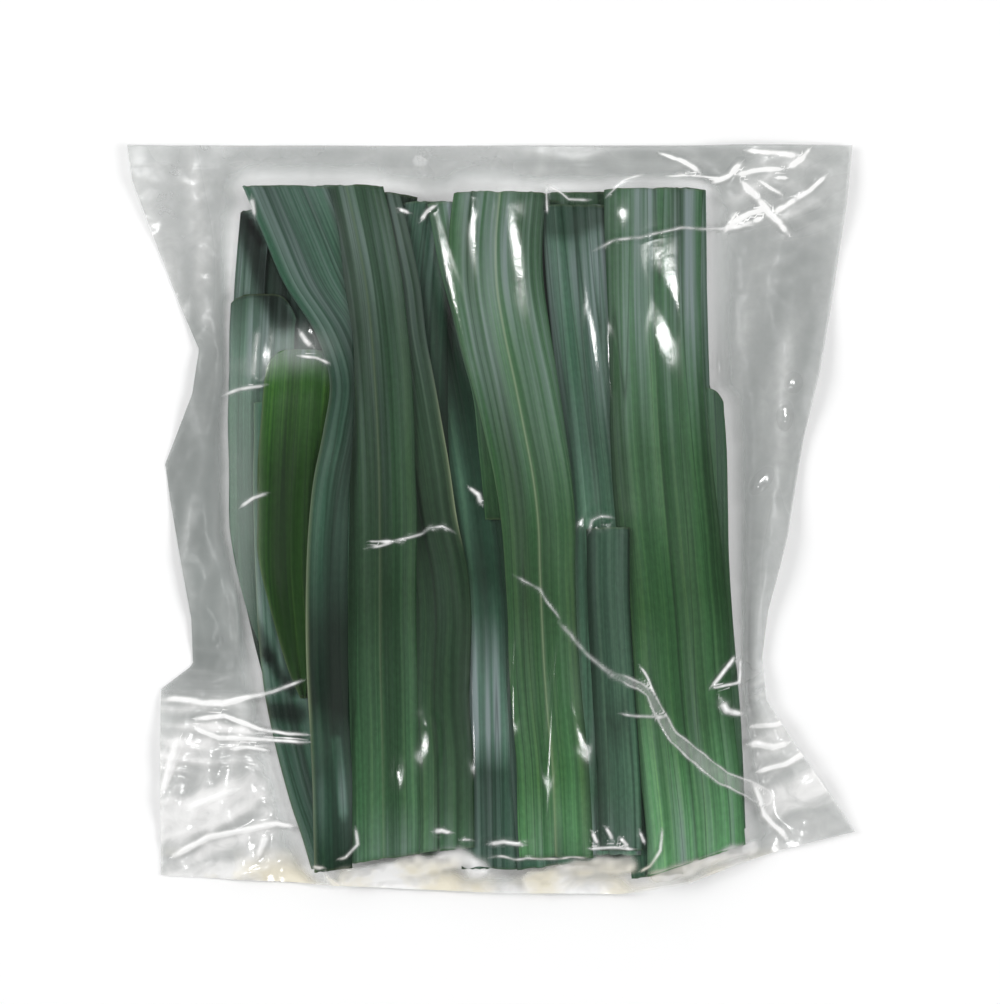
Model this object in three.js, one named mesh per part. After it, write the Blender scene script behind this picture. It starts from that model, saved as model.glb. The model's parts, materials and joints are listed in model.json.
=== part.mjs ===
// A vacuum-packed bunch of pandan leaves, lying flat on the back of its clear pouch.
//
// Long strap-shaped leaves, cut to the length of the pouch, are stacked one on another between
// two films. Some leaves are open, with the shallow M of a pandan blade across them, and some
// are folded along the midrib. Each leaf is settled on what lies below it, and the front film
// is settled on them all and meets the back film round the edge.
//
// Millimetres, +Z up, +Y towards the leaves' cut heads. The origin is on the surface that the
// pouch lies on, below its middle.

import * as THREE from "three";
import { mergeVertices } from "three/addons/utils/BufferGeometryUtils.js";

// Driving dimensions
const LEAF_THICKNESS = 0.7;
const FILM_THICKNESS = 0.6; // a real film is about 0.1
const CLEARANCE = 0.3; // between any two pieces
const FOLD_GAP = 0.4; // between the halves of a leaf folded along its midrib
const FOLD_WALL = 1.0; // how far the inside of that fold stops short of its outside
const UNDER_HALF_WIDTH = 15.5; // a full-grown leaf is about 31 wide
const POUCH_TOP = 132.1;

// Outlines read off the bunch, as [y, x] along the sides and [x, y] along the ends
const pouchLeft = through([
  [-125.5, -116.7], [-59.7, -116.7], [-51.3, -105.5], [-34.5, -105.9], [-13.5, -109.7],
  [7.5, -113.6], [19.8, -115.3], [32, -110.4], [44.3, -105.5], [60, -103.1],
  [77.5, -110.8], [100.3, -119.5], [119.5, -126.5], [131.8, -128.3],
]);
const pouchRight = through([
  [-110, 128.3], [-94.7, 117.8], [-78.2, 106.2], [-63.5, 96.8], [-48.5, 95.4], [-31.7, 97.5],
  [-6.5, 104.1], [28.5, 110], [53, 115.7], [77.5, 120.2], [110.8, 125.1], [131.8, 127.2],
]);
const pouchFoot = through([
  [-116.7, -125.5], [-67, -127.9], [-32, -130], [3, -131.4], [45, -131.8],
  [69.5, -127.9], [87, -121.3], [104.5, -115.7], [128.3, -110],
]);
const bunchLeft = through([
  [-122.7, -62.8], [-109.7, -67], [-94, -73], [-78.2, -78.2], [-64.2, -79.6], [-48.5, -81.7],
  [-31, -88], [-13.5, -91.5], [42.5, -92.9], [77.5, -91.9], [105.5, -89.4], [116.7, -87],
]);
const bunchRight = through([
  [-109.7, 89.8], [-97.5, 90.1], [-69.5, 88.4], [-45, 85.9], [-13.5, 83.8], [25, 82.4],
  [42.5, 80], [53, 76.1], [77.5, 75.8], [116.7, 73.7],
]);
const bunchFoot = through([
  [-62.8, -122.5], [-5, -118.5], [24, -120], [50, -122.5], [69.5, -120.5], [89.8, -109.7],
]);
const bunchHead = through([[-87, 116], [-58, 118.5], [-20, 115], [18.7, 116], [73.7, 116.7]]);

// The M across an open leaf and the gentler arch across half a folded one, edge to edge
const M_FORM = [-0.9, 0.8, -0.7, 0.8, -0.9];
const ARCH_FORM = [-0.5, 0.4, 0.2];

// The leaves that show through the front film, lowest first. A route is [y, x] from foot to
// head down the middle of the leaf, half is half its width, or [y, half] where that changes,
// tip names an end that tapers, and slant is how far the foot's right corner is above its middle.
const SHOWN_LEAVES = [
  {
    name: "left_rear", tone: "grey", half: 5.6,
    route: [[-12, -83], [50, -86.5], [77.5, -85.5], [109.5, -83]],
  },
  {
    name: "left_tip", tone: "grey", half: 11.5, tip: "foot",
    route: [[-64, -66.5], [-41.5, -76.5], [-13.5, -80], [42.5, -81], [79.5, -80]],
  },
  {
    name: "left_low", tone: "deep", half: 10, slant: 2,
    route: [[-121.3, -53.2], [-94, -62.6], [-62.5, -69.5], [-13.5, -73], [42, -73.5]],
  },
  { name: "right_rear", tone: "mid", half: 9, route: [[-2, 69.5], [42.5, 67.6], [117, 66.4]] },
  {
    name: "right_edge", tone: "mid", half: 9.5, slant: 4,
    route: [[-112.8, 80], [-76.5, 78.6], [-45, 76], [-13.5, 74], [25, 72.9], [46.7, 72]],
  },
  {
    name: "gap_leaf", tone: "deep", half: 11,
    route: [
      [-122.5, 0.4], [-62.5, -0.5], [-27.5, -1.4], [7.5, -4.8], [42.5, -10.4],
      [77.5, -16.5], [107.5, -18.6],
    ],
  },
  {
    name: "middle_low", tone: "deep", half: 14, slant: 1.5,
    route: [[-121.2, 23], [-83.5, 20.5], [-13.5, 17], [42.5, 9], [77.5, 3], [104, 1]],
  },
  {
    name: "right_low", tone: "deep", half: 9, slant: 1,
    route: [[-125, 58.2], [-83.5, 55.6], [-41.5, 52.8], [-6.5, 52]],
  },
  {
    name: "left_inner", tone: "deep", half: 10.5,
    route: [[-20, -23], [0, -24], [42.5, -26], [77.5, -25], [111.8, -21.5]],
  },
  {
    name: "left_bright", tone: "bright", half: 12, tip: "foot",
    route: [[-62.5, -65.8], [-41.5, -68.2], [-13.5, -70.2], [25, -69.4], [60, -67.2]],
  },
  {
    name: "middle_grey", tone: "grey", half: 11.2,
    route: [
      [-117.5, 41.2], [-62.5, 41.2], [-27.5, 40], [7.5, 38], [42.5, 34.5], [77.5, 31],
      [110.8, 28.5],
    ],
  },
  {
    name: "middle_left", tone: "light", half: 11.5,
    route: [[0, 9.5], [25, 7.2], [42.5, 5.2], [60, 0.5], [77.5, -3.6], [96, -8.4], [111.5, -11]],
  },
  {
    name: "left_right_hand", tone: "mid", half: 12.6, slant: 1.4,
    route: [
      [-116.2, -18.6], [-84, -18.8], [-63, -20.2], [-45.5, -19.8], [-28, -19.4], [-17.5, -20.8],
      [-7, -23.4], [3.5, -25], [17.5, -27.2], [45.5, -31.8], [63, -35.2], [84, -37.8], [105, -42.2],
      [115, -44.6],
    ],
  },
  {
    name: "left_middle", tone: "mid", half: 13, slant: 2,
    route: [
      [-119, -37.8], [-83.5, -38.3], [-41.5, -39.2], [7.5, -39.2], [42.5, -40.4], [77.5, -43.3],
      [102, -47.6], [117.6, -51],
    ],
  },
  {
    name: "left_fold", tone: "deep", folded: "left", slant: 1,
    half: [
      [-123, 6.6], [-28, 7.2], [7, 6.6], [42, 4.6], [54, 4.4], [66, 6.6], [80, 10], [98, 13],
      [115, 15.2],
    ],
    route: [
      [-123, -55.4], [-83.5, -56], [-41.5, -57.6], [7.5, -56.4], [36, -53], [54.8, -52.4],
      [66, -55.2], [80, -61], [98, -66], [117.4, -72],
    ],
  },
  {
    name: "middle_broad", tone: "light",
    half: [[-118, 13], [-60, 12.4], [-28, 12.2], [7, 13.2], [42, 14.8], [77, 16.6], [115, 16]],
    route: [
      [-118.3, 22.6], [-84, 21.2], [-63, 19.2], [-42, 18], [-28, 17.4], [7, 15.6], [42, 9.4],
      [77, 2.4], [95, 1.4], [115.3, 3],
    ],
  },
  {
    name: "right_broad", tone: "light", slant: 5.5,
    half: [[-119, 17.4], [-62, 18], [-28, 18.6], [20, 17.6], [60, 16.4], [116, 17.4]],
    route: [
      [-119.5, 72.2], [-97.5, 70.4], [-62.5, 66.6], [-34.5, 64.6], [0.5, 61.4], [35.5, 58.6],
      [77.5, 57], [116.7, 57],
    ],
  },
  {
    name: "middle_short", tone: "grey", half: 7.4, folded: "right",
    route: [[-115.7, 45.4], [-90.5, 44.6], [-62.5, 42.8], [-27.5, 40.8], [-2.3, 40.6]],
  },
];

// How many leaves lie side by side in each hidden layer, lowest first, and how far the layer
// stops short of the bunch's left and right sides
const UNDER_LAYERS = [
  { leaves: 5, left: 7, right: 7 },
  { leaves: 6, left: 1, right: 1 },
  { leaves: 6, left: 6, right: 1.5 },
  { leaves: 5, left: 20, right: 4 },
];

const materials = {
  deep: new THREE.MeshStandardMaterial({ color: "#2c4a36", roughness: 0.5, metalness: 0 }),
  mid: new THREE.MeshStandardMaterial({ color: "#3d6246", roughness: 0.5, metalness: 0 }),
  bright: new THREE.MeshStandardMaterial({ color: "#3f7433", roughness: 0.45, metalness: 0 }),
  light: new THREE.MeshStandardMaterial({ color: "#547a58", roughness: 0.45, metalness: 0 }),
  grey: new THREE.MeshStandardMaterial({ color: "#5a7268", roughness: 0.55, metalness: 0 }),
  film: new THREE.MeshStandardMaterial({
    color: "#c6cacd", roughness: 0.15, metalness: 0, transparent: true, opacity: 0.3,
  }),
};

// A smooth curve through [at, value] points, level beyond its ends
function through(points) {
  const slope = points.map((_, i) => {
    const [a, b] = [points[Math.max(i - 1, 0)], points[Math.min(i + 1, points.length - 1)]];
    return (b[1] - a[1]) / (b[0] - a[0]);
  });
  return (at) => {
    if (at <= points[0][0]) return points[0][1];
    const next = points.findIndex(([p]) => p > at);
    if (next < 0) return points.at(-1)[1];
    const [from, to] = [points[next - 1], points[next]];
    const span = to[0] - from[0];
    const t = (at - from[0]) / span;
    const rise = t * t * (3 - 2 * t);
    return (
      from[1] * (1 - rise) + to[1] * rise +
      span * t * (1 - t) * (slope[next - 1] * (1 - t) - slope[next] * t)
    );
  };
}

const mix = (a, b, t) => a + (b - a) * t;
const smooth = (from, to, at) => THREE.MathUtils.smoothstep(at, from, to);

// Random numbers from 0 to 1 that are the same on every run
function seeded(seed) {
  let state = seed;
  return () => {
    state = (state * 1664525 + 1013904223) % 4294967296;
    return state / 4294967296;
  };
}

// The height reached so far, cell by cell, by what has been laid on the surface
const CELL = 0.8;
const MAP_HALF = 136;
const MAP_CELLS = Math.ceil((2 * MAP_HALF) / CELL);
const reached = new Float32Array(MAP_CELLS * MAP_CELLS);
const cellOf = (at) => THREE.MathUtils.clamp(Math.floor((at + MAP_HALF) / CELL), 1, MAP_CELLS - 2);

// The highest that anything reaches within a cell of a point
function heightNear(x, y) {
  let highest = 0;
  for (let j = cellOf(y) - 1; j <= cellOf(y) + 1; j++) {
    for (let i = cellOf(x) - 1; i <= cellOf(x) + 1; i++) {
      highest = Math.max(highest, reached[j * MAP_CELLS + i]);
    }
  }
  return highest;
}

// The two triangles of each cell of a grid, as row and column pairs, split alike everywhere
function trianglesOf(rows, columns) {
  const found = [];
  for (let j = 0; j < rows - 1; j++) {
    for (let k = 0; k < columns - 1; k++) {
      found.push([[j, k], [j, k + 1], [j + 1, k + 1]]);
      found.push([[j, k], [j + 1, k + 1], [j + 1, k]]);
    }
  }
  return found;
}

// Points spread over the triangles of a plan, each with its three corners and their shares
function spotsOn(plan) {
  const spots = [];
  for (const corners of trianglesOf(plan.length, plan[0].length)) {
    const [a, b, c] = corners.map(([j, k]) => plan[j][k]);
    const steps = Math.ceil(Math.max(a.distanceTo(b), b.distanceTo(c), c.distanceTo(a)) / CELL);
    for (let i = 0; i <= steps; i++) {
      for (let j = 0; j <= steps - i; j++) {
        const shares = [i / steps, j / steps, (steps - i - j) / steps];
        spots.push({
          corners,
          shares,
          x: a.x * shares[0] + b.x * shares[1] + c.x * shares[2],
          y: a.y * shares[0] + b.y * shares[1] + c.y * shares[2],
        });
      }
    }
  }
  return spots;
}

// Lays a sheet, given as a grid of points in plan, on what is there and gives the height of its
// underside at each of them. It is pressed down a little at a time, eased towards its own form,
// and lifted wherever it comes too near what it lies on.
function settle(plan, form, thickness, { press, ease, rounds }) {
  const spots = spotsOn(plan);
  for (const spot of spots) spot.least = heightNear(spot.x, spot.y) + CLEARANCE;
  const start = spots.reduce((highest, spot) => Math.max(highest, spot.least), 0);
  let height = plan.map((row, j) => row.map((_, k) => start + form(j, k)));
  const heightAt = ({ corners, shares }) =>
    corners.reduce((sum, [j, k], i) => sum + height[j][k] * shares[i], 0);
  for (let round = 0; round < rounds; round++) {
    const easeNow = round < rounds - 1 ? ease : 0;
    height = height.map((row, j) =>
      row.map((own, k) => {
        const near = [[j - 1, k], [j + 1, k], [j, k - 1], [j, k + 1]].filter(
          ([r, c]) => height[r]?.[c] !== undefined,
        );
        const mean = near.reduce((sum, [r, c]) => sum + height[r][c] - form(r, c), 0) / near.length;
        return own + (mean + form(j, k) - own) * easeNow - press * easeNow;
      }),
    );
    const lift = height.map((row) => row.map(() => 0));
    for (const spot of spots) {
      const short = spot.least - heightAt(spot);
      if (short <= 0) continue;
      const whole = spot.shares.reduce((sum, share) => sum + share * share, 0);
      spot.corners.forEach(([j, k], i) => {
        lift[j][k] = Math.max(lift[j][k], (short * spot.shares[i]) / whole);
      });
    }
    height = height.map((row, j) => row.map((own, k) => own + lift[j][k]));
  }
  for (const spot of spots) {
    const cell = cellOf(spot.y) * MAP_CELLS + cellOf(spot.x);
    reached[cell] = Math.max(reached[cell], heightAt(spot) + thickness);
  }
  return height;
}

// Triangles gathered into one closed body
class Body {
  constructor() {
    this.corners = [];
  }

  triangle(a, b, c) {
    this.corners.push(a, b, c);
  }

  // A surface over rows of points, facing up or down
  surface(rows, up) {
    for (const corners of trianglesOf(rows.length, rows[0].length)) {
      const [a, b, c] = corners.map(([j, k]) => rows[j][k]);
      if (up) this.triangle(a, b, c);
      else this.triangle(a, c, b);
    }
  }

  // A wall from one line of points up to another, facing right of the way they run
  wall(low, high) {
    for (let i = 0; i < low.length - 1; i++) {
      this.triangle(low[i], low[i + 1], high[i + 1]);
      this.triangle(low[i], high[i + 1], high[i]);
    }
  }

  // The body as a mesh, mirrored back where its rows ran from right to left
  mesh(name, material, mirrored = false) {
    const order = mirrored ? [0, 2, 1] : [0, 1, 2];
    const numbers = [];
    for (let i = 0; i < this.corners.length; i += 3) {
      for (const j of order) numbers.push(...this.corners[i + j].toArray());
    }
    const geometry = new THREE.BufferGeometry();
    geometry.setAttribute("position", new THREE.Float32BufferAttribute(numbers, 3));
    const merged = mergeVertices(geometry, 1e-3);
    merged.computeVertexNormals();
    const made = new THREE.Mesh(merged, material);
    made.name = name;
    return made;
  }
}

// A plan and its heights as points, raised by some amount
const raised = (plan, height, by) =>
  plan.map((row, j) => row.map((p, k) => new THREE.Vector3(p.x, p.y, height[j][k] + by)));

// The rim of a grid of points, once round, anticlockwise from above
const rimOf = (rows) => [
  ...rows[0],
  ...rows.slice(1).map((row) => row.at(-1)),
  ...rows.at(-1).slice(0, -1).reverse(),
  ...rows.slice(0, -1).reverse().map((row) => row[0]),
];

// A sheet of one thickness all over
function flatSheet(name, material, plan, height, thickness) {
  const body = new Body();
  const [under, over] = [raised(plan, height, 0), raised(plan, height, thickness)];
  body.surface(under, false);
  body.surface(over, true);
  body.wall(rimOf(under), rimOf(over));
  return body.mesh(name, material);
}

// A leaf folded in two along its midrib, which is the last point of each row
function foldedSheet(name, material, plan, height, mirrored) {
  const inside = LEAF_THICKNESS + FOLD_GAP;
  const inset = (rows) =>
    rows.map((row) => {
      const [before, fold] = row.slice(-2);
      const share = FOLD_WALL / Math.hypot(fold.x - before.x, fold.y - before.y);
      return [...row.slice(0, -1), fold.clone().lerp(before, share)];
    });
  const outer = [0, inside + LEAF_THICKNESS].map((by) => raised(plan, height, by));
  const inner = [LEAF_THICKNESS, inside].map((by) => inset(raised(plan, height, by)));
  const body = new Body();
  body.surface(outer[0], false);
  body.surface(inner[0], true);
  body.surface(inner[1], false);
  body.surface(outer[1], true);
  const backwards = (line) => [...line].reverse();
  const column = (rows, k) => rows.map((row) => row.at(k));
  for (const [low, high] of [[outer[0], inner[0]], [inner[1], outer[1]]]) {
    body.wall(backwards(column(low, 0)), backwards(column(high, 0)));
    body.wall(low[0], high[0]);
    body.wall(backwards(low.at(-1)), backwards(high.at(-1)));
  }
  body.wall(column(outer[0], -1), column(outer[1], -1));
  body.wall(backwards(column(inner[0], -1)), backwards(column(inner[1], -1)));
  for (const end of [0, -1]) {
    const block = [inner[0], outer[0], outer[1], inner[1]].map((rows) => rows.at(end).at(-1));
    if (end) block.reverse();
    body.triangle(block[0], block[1], block[2]);
    body.triangle(block[0], block[2], block[3]);
  }
  return body.mesh(name, material, mirrored);
}

// How wide a leaf is at a share of its length from the foot, beside its full width
function taper(share, tip) {
  if (!tip) return 1;
  const fromTip = tip === "foot" ? share : 1 - share;
  return mix(0.08, 1, Math.pow(Math.min(fromTip / 0.42, 1), 0.75));
}

const LEAF_ROWS = { shown: 15, under: 10 };

// Makes one leaf, laid on those made before it
function layLeaf(name, leaf, rows) {
  const middle = through(leaf.route);
  const halfAt = Array.isArray(leaf.half) ? through(leaf.half) : () => leaf.half;
  const [foot, head] = [leaf.route[0][0], leaf.route.at(-1)[0]];
  const form = leaf.folded ? ARCH_FORM : M_FORM;
  const across = form.map((_, k) => mix(-1, 1, k / (form.length - 1)));
  if (leaf.folded === "left") across.reverse();
  const plan = Array.from({ length: rows }, (_, j) => {
    const share = j / (rows - 1);
    const half = halfAt(mix(foot, head, share)) * taper(share, leaf.tip);
    const slant = (leaf.slant ?? 0) * Math.pow(1 - share, 4);
    return across.map((u) => {
      const y = mix(foot, head, share) + slant * u;
      return new THREE.Vector2(middle(y) + half * u, y);
    });
  });
  const thickness = LEAF_THICKNESS * (leaf.folded ? 2 : 1) + (leaf.folded ? FOLD_GAP : 0);
  const height = settle(plan, (j, k) => form[k], thickness, { press: 0.55, ease: 0.35, rounds: 90 });
  return leaf.folded
    ? foldedSheet(name, materials[leaf.tone], plan, height, leaf.folded === "left")
    : flatSheet(name, materials[leaf.tone], plan, height, thickness);
}

// A leaf of a hidden layer. It follows the sides of the bunch, more or less by its place
// between them.
function underLeaf(layer, place, random) {
  const half = UNDER_HALF_WIDTH * mix(0.86, 1.02, random());
  const share = place / (layer.leaves - 1);
  const lean = mix(-3, 3, random()) * (share > 0 && share < 1 ? 1 : 0);
  const middle = (y) => {
    const left = bunchLeft(y) + layer.left + half;
    const right = bunchRight(y) - layer.right - half;
    return mix(left, right, share) + lean * (y / 120);
  };
  const foot = bunchFoot(middle(-118)) + mix(0.5, 6, random());
  const head = bunchHead(middle(115)) - mix(0.5, 7, random());
  const stations = 9;
  const route = Array.from({ length: stations }, (_, i) => {
    const y = mix(foot, head, i / (stations - 1));
    return [y, middle(y)];
  });
  const tones = ["deep", "mid", "bright", "light", "grey"];
  const tip = random() < 0.2 ? (random() < 0.5 ? "foot" : "head") : undefined;
  return { half, route, tone: tones[Math.floor(random() * tones.length)], tip };
}

// The pouch's plan as a grid, with closer columns over the bunch than beside it
function pouchPlan(marginCells, bunchCells, rowCells) {
  const columns = [];
  for (let i = 0; i < marginCells; i++) columns.push([0, i / marginCells]);
  for (let i = 0; i < bunchCells; i++) columns.push([1, i / bunchCells]);
  for (let i = 0; i <= marginCells; i++) columns.push([2, i / marginCells]);
  const rows = [[0, 0], [0, 0.55]];
  for (let i = 0; i < rowCells; i++) rows.push([1, i / rowCells]);
  rows.push([2, 0], [2, 0.45], [2, 1]);
  const sidesAt = (y) => [pouchLeft(y), bunchLeft(y) - 1.5, bunchRight(y) + 1.5, pouchRight(y)];
  const xAt = ([zone, share], y) => mix(sidesAt(y)[zone], sidesAt(y)[zone + 1], share);
  return rows.map(([zone, share]) =>
    columns.map((column) => {
      const [low, high] = [xAt(column, -112), xAt(column, 116)];
      const ends = [pouchFoot(low), bunchFoot(low) - 1.5, bunchHead(high) + 1.5, POUCH_TOP];
      const y = mix(ends[zone], ends[zone + 1], share);
      return new THREE.Vector2(xAt(column, y), y);
    }),
  );
}

// How far the free edge of the pouch waves up from the surface, past the leaves
function edgeWave({ x, y }) {
  const outside = Math.max(
    bunchLeft(y) - x, x - bunchRight(y), bunchFoot(x) - y, y - bunchHead(x), 0,
  );
  const ripple = 3.2 + 1.5 * Math.sin(x / 13 + 0.6) + 1.6 * Math.sin(y / 11 + x / 37);
  return ripple * smooth(3, 34, outside);
}

const POUCH_ROWS = 23; // along the bunch
const group = new THREE.Group();

const backPlan = pouchPlan(4, 6, POUCH_ROWS);
const backHeight = backPlan.map((row) => row.map(edgeWave));
group.add(flatSheet("pouch_back_film", materials.film, backPlan, backHeight, FILM_THICKNESS));
for (const { corners, shares, x, y } of spotsOn(backPlan)) {
  const height = corners.reduce((sum, [j, k], i) => sum + backHeight[j][k] * shares[i], 0);
  reached[cellOf(y) * MAP_CELLS + cellOf(x)] = height + FILM_THICKNESS;
}

const random = seeded(7);
UNDER_LAYERS.forEach((layer, depth) => {
  for (let place = 0; place < layer.leaves; place++) {
    const name = `leaf_under_${depth + 1}_${place + 1}`;
    group.add(layLeaf(name, underLeaf(layer, place, random), LEAF_ROWS.under));
  }
});
for (const leaf of SHOWN_LEAVES) group.add(layLeaf(`leaf_${leaf.name}`, leaf, LEAF_ROWS.shown));

const frontPlan = pouchPlan(4, 32, POUCH_ROWS);
const frontHeight = settle(frontPlan, () => 0, FILM_THICKNESS, { press: 1.1, ease: 0.5, rounds: 140 });
group.add(flatSheet("pouch_front_film", materials.film, frontPlan, frontHeight, FILM_THICKNESS));

export default group;
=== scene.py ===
import json
import math
from functools import partial

import bpy
import numpy as np
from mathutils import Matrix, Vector

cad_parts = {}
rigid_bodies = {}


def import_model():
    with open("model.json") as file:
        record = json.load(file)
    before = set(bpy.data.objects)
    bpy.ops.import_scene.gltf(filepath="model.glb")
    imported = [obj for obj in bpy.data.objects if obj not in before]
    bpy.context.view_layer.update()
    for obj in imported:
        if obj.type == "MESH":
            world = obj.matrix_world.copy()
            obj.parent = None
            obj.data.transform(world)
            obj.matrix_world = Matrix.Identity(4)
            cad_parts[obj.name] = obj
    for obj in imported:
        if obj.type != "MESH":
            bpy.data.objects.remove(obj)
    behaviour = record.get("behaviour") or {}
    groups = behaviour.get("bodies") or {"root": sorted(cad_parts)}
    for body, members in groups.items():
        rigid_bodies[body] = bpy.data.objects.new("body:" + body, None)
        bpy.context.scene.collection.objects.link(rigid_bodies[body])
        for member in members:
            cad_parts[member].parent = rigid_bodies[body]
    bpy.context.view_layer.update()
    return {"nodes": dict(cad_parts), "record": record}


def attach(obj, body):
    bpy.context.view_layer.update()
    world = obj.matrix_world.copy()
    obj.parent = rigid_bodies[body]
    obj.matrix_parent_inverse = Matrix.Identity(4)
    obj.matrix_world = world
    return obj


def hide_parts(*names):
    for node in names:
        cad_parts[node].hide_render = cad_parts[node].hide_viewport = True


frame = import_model()
mm = 0.001
slotOf = {s["node"]: s["material_slot"] for s in frame["record"]["subparts"]}
print("frame loaded:", len(frame["nodes"]), "nodes")


def linear(hexColour):
    # sRGB hex to the linear colour that shaders use
    parts = [int(hexColour[i:i + 2], 16) / 255 for i in (1, 3, 5)]
    return [c / 12.92 if c <= 0.04045 else ((c + 0.055) / 1.055) ** 2.4 for c in parts] + [1.0]


def addNode(tree, kind, *values, out=0, **settings):
    # Adds a node with its settings; a kind may end in its operation. The values fill its inputs
    # in order, or by name from a dictionary: a number, a hex colour, or another node's output,
    # which is linked. Gives one of its outputs, or all of them if out is None.
    kind, _, operation = kind.partition(":")
    node = tree.nodes.new("ShaderNode" + kind)
    if operation:
        node.operation = operation
    for name, setting in settings.items():
        setattr(node, name, setting)
    inputs = values[0] if values and isinstance(values[0], dict) else dict(enumerate(values))
    for name, value in inputs.items():
        if isinstance(value, bpy.types.NodeSocket):
            tree.links.new(value, node.inputs[name])
        else:
            node.inputs[name].default_value = linear(value) if isinstance(value, str) else value
    return node.outputs if out is None else node.outputs[out]


def newMaterial(name, *attributes):
    # an empty material, addNode for its own nodes, and the numbers in a piece's attributes
    material = bpy.data.materials.new(name)
    material.use_nodes = True
    material.node_tree.nodes.clear()
    add = partial(addNode, material.node_tree)
    vectors = [add("Attribute", attribute_name=given, out="Vector") for given in attributes]
    return material, add, [add("SeparateXYZ", vector, out=None) for vector in vectors]


def resample(points, count):
    # rows of points turned into count rows on a smooth curve through them
    first, last = 2 * points[:1] - points[1:2], 2 * points[-1:] - points[-2:-1]
    padded = np.concatenate([first, points, last])
    at = np.linspace(0, len(points) - 1, count)
    i = np.minimum(at.astype(int), len(points) - 2)
    t = (at - i).reshape([-1] + [1] * (points.ndim - 1))
    a, b, c, d = (padded[i + k] for k in range(4))
    return 0.5 * (
        2 * b + (c - a) * t + (2 * a - 5 * b + 4 * c - d) * t**2 + (3 * b - a - 3 * c + d) * t**3
    )


def between(corner, tx, ty):
    # the value at tx and ty between four corners
    low = corner(0, 0) * (1 - tx) + corner(1, 0) * tx
    high = corner(0, 1) * (1 - tx) + corner(1, 1) * tx
    return low * (1 - ty) + high * ty


def noise(x, y, cell, seed):
    # smooth noise from -1 to 1 whose patches are about one cell wide, x and y in millimetres
    values = np.random.default_rng(seed).uniform(-1, 1, (128, 128))
    fx, fy = x / cell + 41.3, y / cell + 57.7
    ix, iy = np.floor(fx).astype(int), np.floor(fy).astype(int)
    tx, ty = fx - ix, fy - iy
    tx, ty = tx * tx * (3 - 2 * tx), ty * ty * (3 - 2 * ty)
    return between(lambda i, j: values[(ix + i) % 128, (iy + j) % 128], tx, ty)


def smoothstep(low, high, x):
    t = np.clip((x - low) / (high - low), 0, 1)
    return t * t * (3 - 2 * t)


def routeDistance(x, y, route):
    # distance from a line through points, below 0 on its right, and how far along it, 0 to 1
    nearest, place = np.full(x.shape, 1e9), np.zeros(x.shape)
    for i, ((ax, ay), (bx, by)) in enumerate(zip(route[:-1], route[1:])):
        dx, dy = bx - ax, by - ay
        t = np.clip(((x - ax) * dx + (y - ay) * dy) / (dx * dx + dy * dy), 0, 1)
        d = np.hypot(x - ax - t * dx, y - ay - t * dy)
        closer = d < np.abs(nearest)
        place = np.where(closer, (i + t) / (len(route) - 1), place)
        side = np.where(dx * (y - ay) - dy * (x - ax) < 0, -1, 1)
        nearest = np.where(closer, d * side, nearest)
    return nearest, place


def gridObject(name, points):
    # a grid primitive of the size of points, rows by columns, bent to them
    bpy.ops.object.select_all(action="DESELECT")
    rows, columns = points.shape[:2]
    bpy.ops.mesh.primitive_grid_add(x_subdivisions=columns - 1, y_subdivisions=rows - 1, size=1)
    obj = bpy.context.object
    obj.name = name
    obj.data.name = name
    obj.data.vertices.foreach_set("co", np.ascontiguousarray(points, dtype=np.float32).ravel())
    obj.data.update()
    bpy.ops.object.shade_smooth()
    return obj


def setAttribute(obj, name, *parts):
    # gives each vertex a vector of these three
    values = np.stack(np.broadcast_arrays(*parts), axis=-1).astype(np.float32)
    layer = obj.data.attributes.new(name, "FLOAT_VECTOR", "POINT")
    layer.data.foreach_set("vector", values.ravel())


def turned(x, y, degrees):
    # x and y along axes turned by that angle
    cosine, sine = math.cos(math.radians(degrees)), math.sin(math.radians(degrees))
    return x * cosine + y * sine, y * cosine - x * sine


def sizeOf(points):
    # length of a blade's first edge, and its greatest width
    edge, widths = np.diff(points[:, 0], axis=0), np.diff(points, axis=1)
    return np.linalg.norm(edge, axis=-1).sum(), np.linalg.norm(widths, axis=-1).sum(axis=1).max()


def nodePoints(node):
    # the corners of a CAD node, each once, in metres
    mesh = bpy.data.objects[node].data
    points = np.empty(len(mesh.vertices) * 3)
    mesh.vertices.foreach_get("co", points)
    return np.unique(np.round(points.reshape(-1, 3), 6), axis=0)


# The lowest and highest points of what lies between the films, on square cells
cell = 0.5 * mm
mapHalf = 0.137
mapCells = int(2 * mapHalf / cell)
tops = np.zeros((mapCells, mapCells))
undersides = np.full((mapCells, mapCells), 1.0)


def addToMaps(points, half):
    # points is a blade's middle surface and half is half its thickness
    rows, columns = points.shape[:2]
    length, width = sizeOf(points)
    dense = resample(points, max(rows, int(length / cell * 2.2)))
    dense = resample(dense.swapaxes(0, 1), max(columns, int(width / cell * 2.6)))
    index = np.clip(((dense[..., :2] + mapHalf) / cell).astype(int), 0, mapCells - 1)
    flat = (index[..., 1] * mapCells + index[..., 0]).ravel()
    count = np.bincount(flat, minlength=mapCells**2).reshape(mapCells, mapCells)
    total = np.bincount(flat, weights=dense[..., 2].ravel(), minlength=mapCells**2)
    height = total.reshape(mapCells, mapCells) / np.maximum(count, 1)
    np.maximum(tops, height + half, out=tops, where=count > 0)
    np.minimum(undersides, height - half, out=undersides, where=count > 0)


def readMap(field, x, y):
    # the field between its cells' middles, x and y in metres
    fx, fy = (np.clip((v + mapHalf) / cell - 0.5, 0, mapCells - 1.001) for v in (x, y))
    ix, iy = fx.astype(int), fy.astype(int)
    return between(lambda i, j: field[iy + j, ix + i], fx - ix, fy - iy)


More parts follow.
